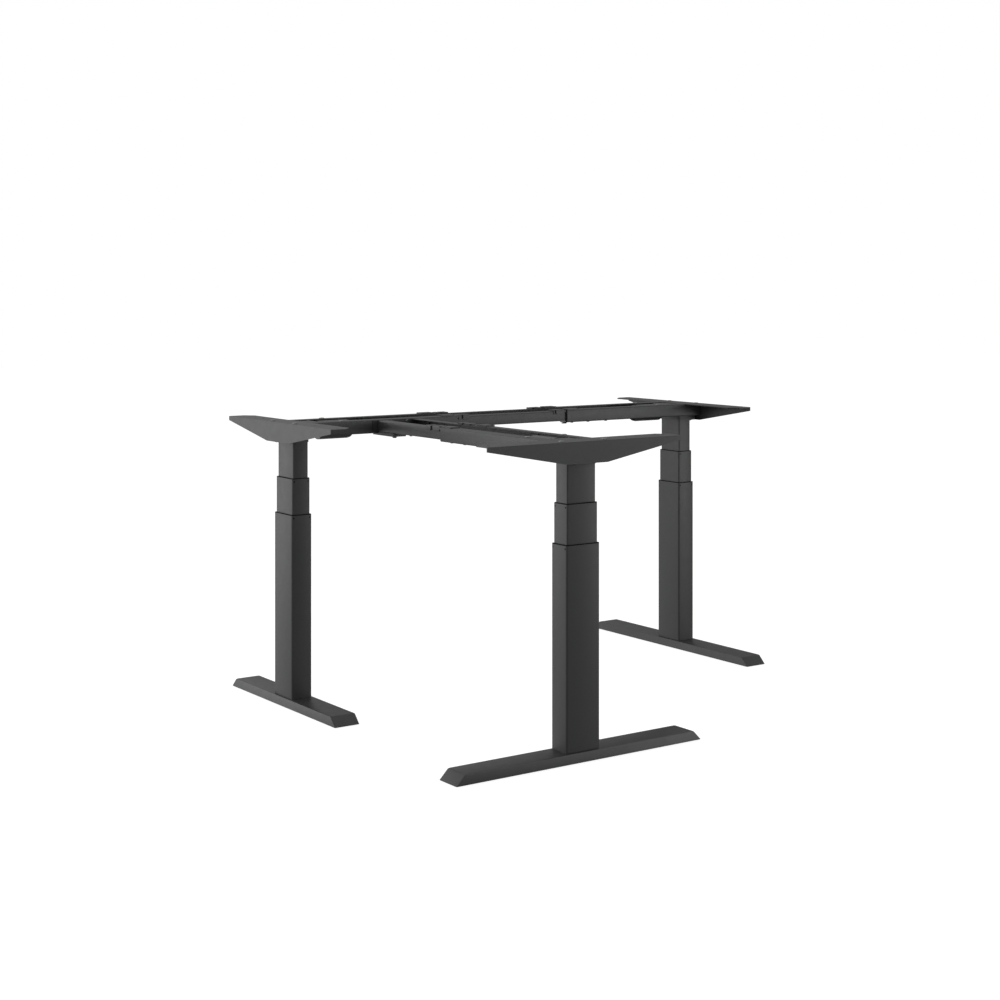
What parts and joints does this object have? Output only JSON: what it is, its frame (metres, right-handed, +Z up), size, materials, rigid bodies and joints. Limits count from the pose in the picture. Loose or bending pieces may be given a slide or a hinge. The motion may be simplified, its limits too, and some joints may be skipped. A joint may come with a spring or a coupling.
{
  "type": "height adjustable standing desk frame",
  "caption": "L-shaped standing desk frame: telescopic legs on flat feet, sliding channel rails and tapered side brackets that carry a corner desktop.",
  "frame": {"origin": "on the floor, under the middle of the frame's outline, with the levelers screwed in", "axes": "+X along the main beam from the corner leg to the right leg, -Y along the return beam towards the return leg, +Z up"},
  "size_m": [1.517, 1.32, 0.788],
  "materials": {
    "powder_coat": "satin black-grey powder coat, very fine texture",
    "guide_plastic": "moulded black acetal",
    "leveler_plastic": "moulded black nylon",
    "motor_enamel": "semi-gloss black enamel",
    "cast_alloy": "painted die-cast alloy, slightly rough",
    "bright_steel": "rolled screw steel with a film of grease",
    "pale_silicone": "translucent pale silicone bumper",
    "screw_zinc": "black zinc plated fastener"
  },
  "bodies": {
    "corner_base": {"corner_foot": "powder_coat", "corner_lower_tube": "powder_coat", "corner_lower_glide": "guide_plastic", "corner_nut_post": "bright_steel"},
    "corner_mid": {"corner_middle_tube": "powder_coat", "corner_upper_glide": "guide_plastic"},
    "corner_hollow": {"corner_hollow_spindle": "bright_steel"},
    "corner_drive": {"corner_drive_spindle": "bright_steel"},
    "corner_top": {"corner_inner_tube": "powder_coat", "corner_column_head": "cast_alloy", "corner_gearbox": "cast_alloy", "corner_motor": "motor_enamel", "corner_side_bracket": "powder_coat", "corner_front_end_rail": "powder_coat", "corner_rear_end_rail": "powder_coat", "corner_joint": "powder_coat", "corner_clamp_left": "powder_coat", "corner_clamp_right": "powder_coat", "return_left_centre_rail": "powder_coat", "return_right_centre_rail": "powder_coat"},
    "corner_leveler_front": {"corner_leveler_front": "leveler_plastic"},
    "corner_leveler_rear": {"corner_leveler_rear": "leveler_plastic"},
    "right_base": {"right_foot": "powder_coat", "right_lower_tube": "powder_coat", "right_lower_glide": "guide_plastic", "right_nut_post": "bright_steel"},
    "right_mid": {"right_middle_tube": "powder_coat", "right_upper_glide": "guide_plastic"},
    "right_hollow": {"right_hollow_spindle": "bright_steel"},
    "right_drive": {"right_drive_spindle": "bright_steel"},
    "right_top": {"right_inner_tube": "powder_coat", "right_column_head": "cast_alloy", "right_gearbox": "cast_alloy", "right_motor": "motor_enamel", "right_side_bracket": "powder_coat", "right_front_end_rail": "powder_coat", "right_rear_end_rail": "powder_coat"},
    "right_leveler_front": {"right_leveler_front": "leveler_plastic"},
    "right_leveler_rear": {"right_leveler_rear": "leveler_plastic"},
    "return_base": {"return_foot": "powder_coat", "return_lower_tube": "powder_coat", "return_lower_glide": "guide_plastic", "return_nut_post": "bright_steel"},
    "return_mid": {"return_middle_tube": "powder_coat", "return_upper_glide": "guide_plastic"},
    "return_hollow": {"return_hollow_spindle": "bright_steel"},
    "return_drive": {"return_drive_spindle": "bright_steel"},
    "return_top": {"return_inner_tube": "powder_coat", "return_column_head": "cast_alloy", "return_gearbox": "cast_alloy", "return_motor": "motor_enamel", "return_side_bracket": "powder_coat", "return_left_end_rail": "powder_coat", "return_right_end_rail": "powder_coat"},
    "return_leveler_front": {"return_leveler_front": "leveler_plastic"},
    "return_leveler_rear": {"return_leveler_rear": "leveler_plastic"},
    "main_centre": {"main_front_centre_rail": "powder_coat", "main_rear_centre_rail": "powder_coat"}
  },
  "joints": [
    {"name": "desk_lift", "type": "slide", "parent": "corner_base", "child": "corner_mid", "axis": [0, 0, 1], "range_m": [-0.092, 0.233]},
    {"name": "corner_upper_stage", "type": "slide", "parent": "corner_mid", "child": "corner_top", "axis": [0, 0, 1], "range_m": [-0.092, 0.233]},
    {"name": "right_upper_stage", "type": "slide", "parent": "right_top", "child": "right_mid", "axis": [0, 0, -1], "range_m": [-0.092, 0.233]},
    {"name": "right_lower_stage", "type": "slide", "parent": "right_mid", "child": "right_base", "axis": [0, 0, -1], "range_m": [-0.092, 0.233]},
    {"name": "return_upper_stage", "type": "slide", "parent": "return_top", "child": "return_mid", "axis": [0, 0, -1], "range_m": [-0.092, 0.233]},
    {"name": "return_lower_stage", "type": "slide", "parent": "return_mid", "child": "return_base", "axis": [0, 0, -1], "range_m": [-0.092, 0.233]},
    {"name": "corner_hollow_spin", "type": "hinge", "parent": "corner_mid", "child": "corner_hollow", "pos_m": [-0.6825, 0.285, 0.5], "axis": [0, 0, 1], "range_deg": [-1658, 4196]},
    {"name": "corner_drive_spin", "type": "hinge", "parent": "corner_top", "child": "corner_drive", "pos_m": [-0.6825, 0.285, 0.5], "axis": [0, 0, 1], "range_deg": [-3314, 8390]},
    {"name": "right_hollow_spin", "type": "hinge", "parent": "right_mid", "child": "right_hollow", "pos_m": [0.7095, 0.285, 0.5], "axis": [0, 0, 1], "range_deg": [-1658, 4196]},
    {"name": "right_drive_spin", "type": "hinge", "parent": "right_top", "child": "right_drive", "pos_m": [0.7095, 0.285, 0.5], "axis": [0, 0, 1], "range_deg": [-3314, 8390]},
    {"name": "return_hollow_spin", "type": "hinge", "parent": "return_mid", "child": "return_hollow", "pos_m": [-0.3835, -0.611, 0.5], "axis": [0, 0, 1], "range_deg": [-1658, 4196]},
    {"name": "return_drive_spin", "type": "hinge", "parent": "return_top", "child": "return_drive", "pos_m": [-0.3835, -0.611, 0.5], "axis": [0, 0, 1], "range_deg": [-3314, 8390]},
    {"name": "main_left_width", "type": "slide", "parent": "corner_top", "child": "main_centre", "axis": [1, 0, 0], "range_m": [-0.15, 0.15]},
    {"name": "main_right_width", "type": "slide", "parent": "main_centre", "child": "right_top", "axis": [1, 0, 0], "range_m": [-0.15, 0.15]},
    {"name": "return_width", "type": "slide", "parent": "corner_top", "child": "return_top", "axis": [0, -1, 0], "range_m": [-0.15, 0.15]},
    {"name": "corner_leveler_front_screw", "type": "slide", "parent": "corner_base", "child": "corner_leveler_front", "axis": [0, 0, -1], "range_m": [0, 0.01]},
    {"name": "corner_leveler_rear_screw", "type": "slide", "parent": "corner_base", "child": "corner_leveler_rear", "axis": [0, 0, -1], "range_m": [0, 0.01]},
    {"name": "right_leveler_front_screw", "type": "slide", "parent": "right_base", "child": "right_leveler_front", "axis": [0, 0, -1], "range_m": [0, 0.01]},
    {"name": "right_leveler_rear_screw", "type": "slide", "parent": "right_base", "child": "right_leveler_rear", "axis": [0, 0, -1], "range_m": [0, 0.01]},
    {"name": "return_leveler_front_screw", "type": "slide", "parent": "return_base", "child": "return_leveler_front", "axis": [0, 0, -1], "range_m": [0, 0.01]},
    {"name": "return_leveler_rear_screw", "type": "slide", "parent": "return_base", "child": "return_leveler_rear", "axis": [0, 0, -1], "range_m": [0, 0.01]}
  ],
  "couplings": [
    {"joint": "corner_upper_stage", "follows": "desk_lift", "ratio": 1},
    {"joint": "right_upper_stage", "follows": "desk_lift", "ratio": 1},
    {"joint": "right_lower_stage", "follows": "desk_lift", "ratio": 1},
    {"joint": "return_upper_stage", "follows": "desk_lift", "ratio": 1},
    {"joint": "return_lower_stage", "follows": "desk_lift", "ratio": 1},
    {"joint": "corner_hollow_spin", "follows": "desk_lift", "rad_per_m": 314.16},
    {"joint": "corner_drive_spin", "follows": "desk_lift", "rad_per_m": 628.32},
    {"joint": "right_hollow_spin", "follows": "desk_lift", "rad_per_m": 314.16},
    {"joint": "right_drive_spin", "follows": "desk_lift", "rad_per_m": 628.32},
    {"joint": "return_hollow_spin", "follows": "desk_lift", "rad_per_m": 314.16},
    {"joint": "return_drive_spin", "follows": "desk_lift", "rad_per_m": 628.32}
  ]
}
